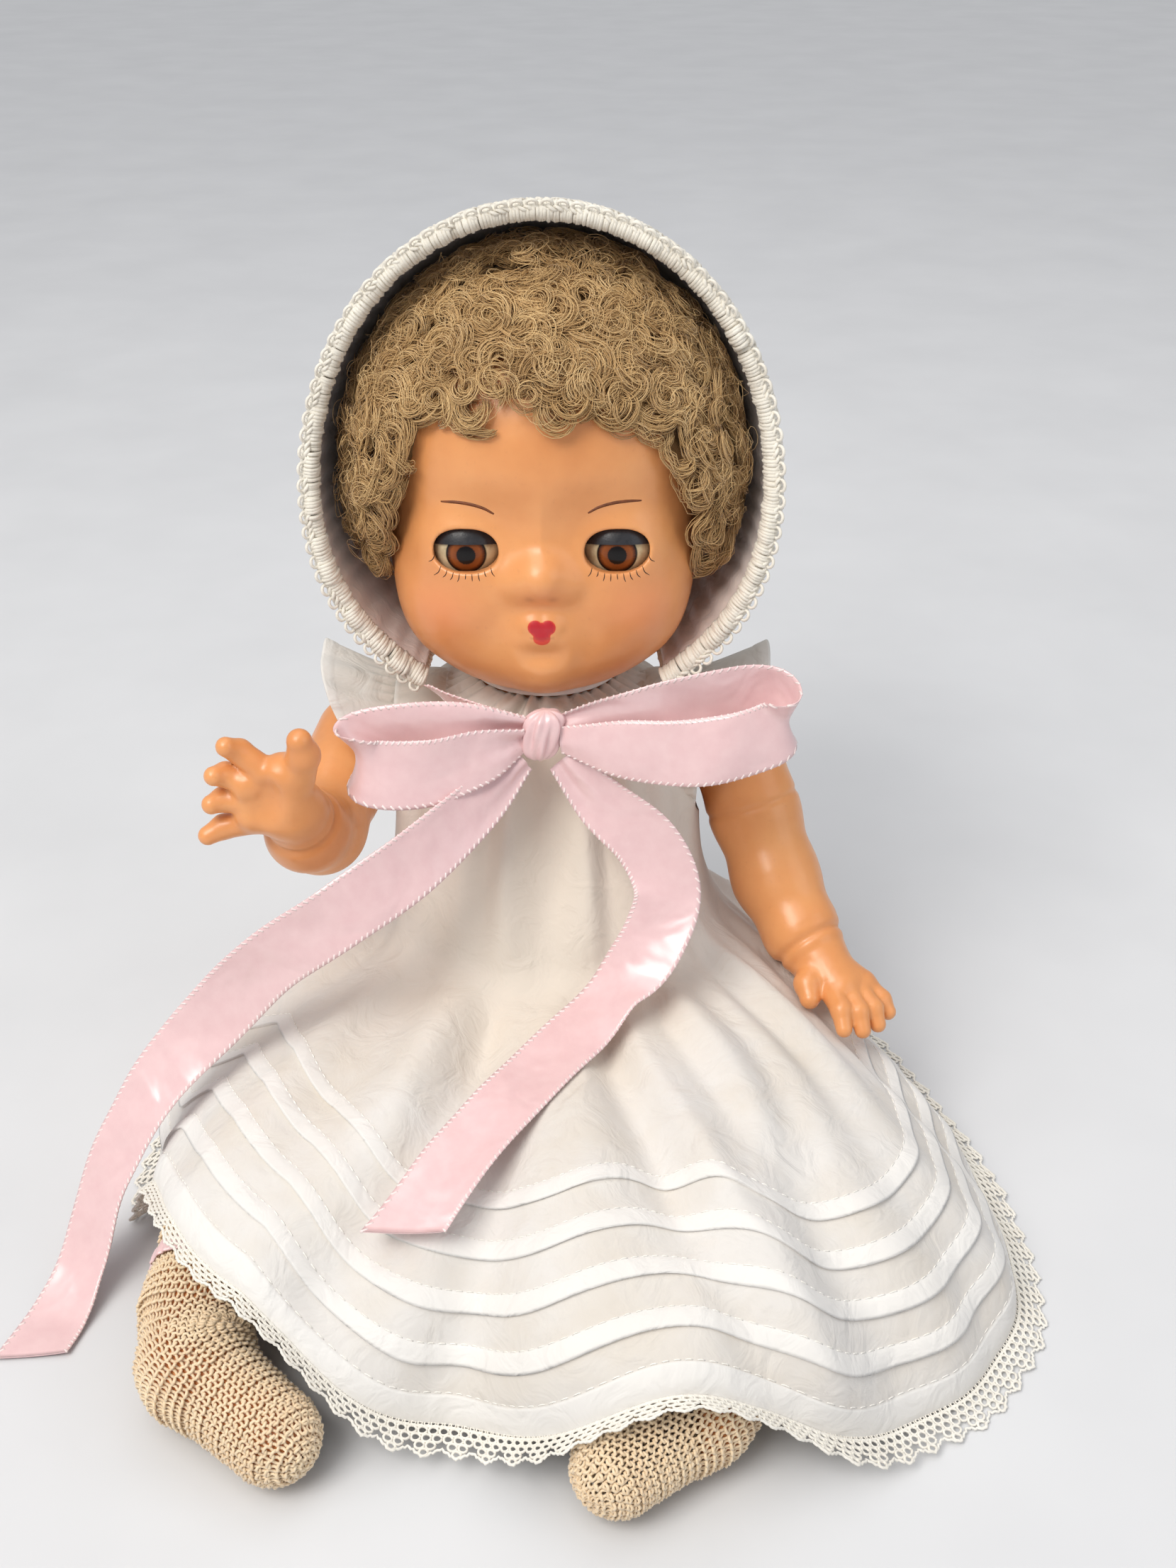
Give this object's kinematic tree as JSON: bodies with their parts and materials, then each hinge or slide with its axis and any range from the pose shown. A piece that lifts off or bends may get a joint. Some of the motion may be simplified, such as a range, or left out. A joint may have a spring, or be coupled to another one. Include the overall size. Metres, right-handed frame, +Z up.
{
  "type": "seated baby doll",
  "caption": "Strung baby doll sitting with one arm raised, with sleep eyes that tip shut, a curled wool wig, crocheted bonnet, tucked cotton dress, ribbon bow and knitted socks.",
  "frame": {"origin": "middle of the flat seat under the torso, on the surface the doll sits on", "axes": "+Z up, the doll faces -Y, its left side is +X"},
  "size_m": [0.1587, 0.1592, 0.1515],
  "materials": {
    "skin": "satin painted composition",
    "elastic": "braided cord",
    "steel": "dull wire",
    "wood": "turned, unpainted",
    "plaster": "cast, unpainted",
    "eye": "glossy",
    "eyelid": "dark satin paint",
    "weight": "cast",
    "wool": "curled wool",
    "crochet": "crocheted cotton",
    "lining": "satin",
    "batiste": "fine white cotton",
    "lace": "cotton lace",
    "knit": "knitted silk",
    "ribbon": "pink satin",
    "button": "pearly"
  },
  "bodies": {
    "torso": {"torso_front": "skin", "torso_back": "skin", "arm_elastic": "elastic", "leg_elastic": "elastic", "dress_bodice": "batiste", "dress_neck_binding": "batiste", "dress_skirt": "batiste", "hem_lace": "lace", "dress_buttons": "button", "bonnet_ties": "ribbon", "bow_knot": "ribbon", "bow_loop_left": "ribbon", "bow_loop_right": "ribbon", "ribbon_tail_left": "ribbon", "ribbon_tail_right": "ribbon"},
    "neck": {"neck_button": "wood", "neck_hook": "steel"},
    "head": {"head_face": "skin", "head_back": "skin", "neck_flange": "skin", "eye_bracket": "plaster", "wig": "wool", "bonnet_crown": "crochet", "bonnet_brim": "crochet", "bonnet_lining_ribbon": "lining", "bonnet_back_rosette": "crochet"},
    "eyes": {"left_eyeball": "eye", "right_eyeball": "eye", "left_eyelid": "eyelid", "right_eyelid": "eyelid", "eye_axle": "steel", "eye_counterweight": "weight"},
    "left_arm": {"left_arm": "skin", "left_arm_hook": "steel", "left_sleeve": "batiste"},
    "right_arm": {"right_arm": "skin", "right_arm_hook": "steel", "right_sleeve": "batiste"},
    "left_leg": {"left_leg": "skin", "left_leg_hook": "steel", "left_sock": "knit", "left_sock_ribbon": "ribbon"},
    "right_leg": {"right_leg": "skin", "right_leg_hook": "steel", "right_sock": "knit", "right_sock_ribbon": "ribbon"}
  },
  "joints": [
    {"name": "head_turn", "type": "hinge", "parent": "torso", "child": "neck", "pos_m": [0, 0.0175, 0.0774], "axis": [0, 0, 1], "range_deg": [-30, 30], "deforming": ["bonnet_ties"]},
    {"name": "head_nod", "type": "hinge", "parent": "neck", "child": "head", "pos_m": [0, 0.0175, 0.0774], "axis": [1, 0, 0], "range_deg": [-8, 6], "deforming": ["bonnet_ties"]},
    {"name": "eye_sleep", "type": "hinge", "parent": "head", "child": "eyes", "pos_m": [0, 0.00437, 0.10272], "axis": [1, 0, 0], "range_deg": [0, 62]},
    {"name": "left_shoulder", "type": "hinge", "parent": "torso", "child": "left_arm", "pos_m": [0.0315, 0.0155, 0.062], "axis": [-1, 0, 0], "range_deg": [0, 60]},
    {"name": "right_shoulder", "type": "hinge", "parent": "torso", "child": "right_arm", "pos_m": [-0.0315, 0.0155, 0.062], "axis": [-1, 0, 0], "range_deg": [-45, 35]},
    {"name": "left_hip", "type": "hinge", "parent": "torso", "child": "left_leg", "pos_m": [0.032, 0.002, 0.014], "axis": [1, 0, 0], "range_deg": [0, 80]},
    {"name": "right_hip", "type": "hinge", "parent": "torso", "child": "right_leg", "pos_m": [-0.032, 0.002, 0.014], "axis": [1, 0, 0], "range_deg": [0, 80]}
  ]
}
